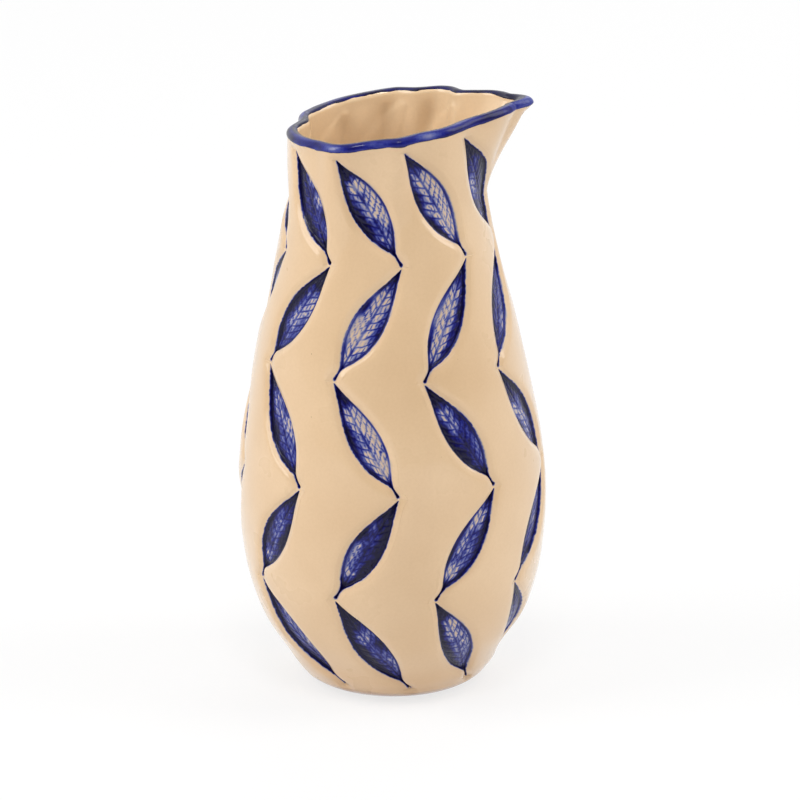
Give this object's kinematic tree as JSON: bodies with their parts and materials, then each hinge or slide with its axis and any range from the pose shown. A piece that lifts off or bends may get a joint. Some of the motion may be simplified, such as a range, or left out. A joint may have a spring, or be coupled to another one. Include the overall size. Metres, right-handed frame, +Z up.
{
  "type": "stoneware jug",
  "caption": "Tall handleless stoneware jug with a pear-shaped body, a pulled pouring spout, a softly fluted sloping blue rim and pressed blue leaves in zigzag garlands.",
  "frame": {"origin": "centre of the foot ring, on the surface that the jug stands on", "axes": "+Z up; +X towards the pouring spout; +Y to the left of somebody who looks along +X from behind the jug"},
  "size_m": [0.1304, 0.1304, 0.2551],
  "materials": {
    "glazed_stoneware": "clear gloss glaze over warm buff clay",
    "bare_clay": "unglazed, matt",
    "inner_glaze": "clear gloss glaze inside",
    "cobalt_rim": "brushed cobalt blue under gloss glaze",
    "cobalt_leaves": "cobalt blue pooled in pressed leaves, wiped pale on the high spots, under gloss glaze"
  },
  "bodies": {
    "root": {"stoneware_body": "glazed_stoneware", "foot_ring": "bare_clay", "liner_glaze": "inner_glaze", "rim_band": "cobalt_rim", "leaf_row_1": "cobalt_leaves", "leaf_row_2": "cobalt_leaves", "leaf_row_3": "cobalt_leaves", "leaf_row_4": "cobalt_leaves", "leaf_row_5": "cobalt_leaves"}
  },
  "joints": []
}
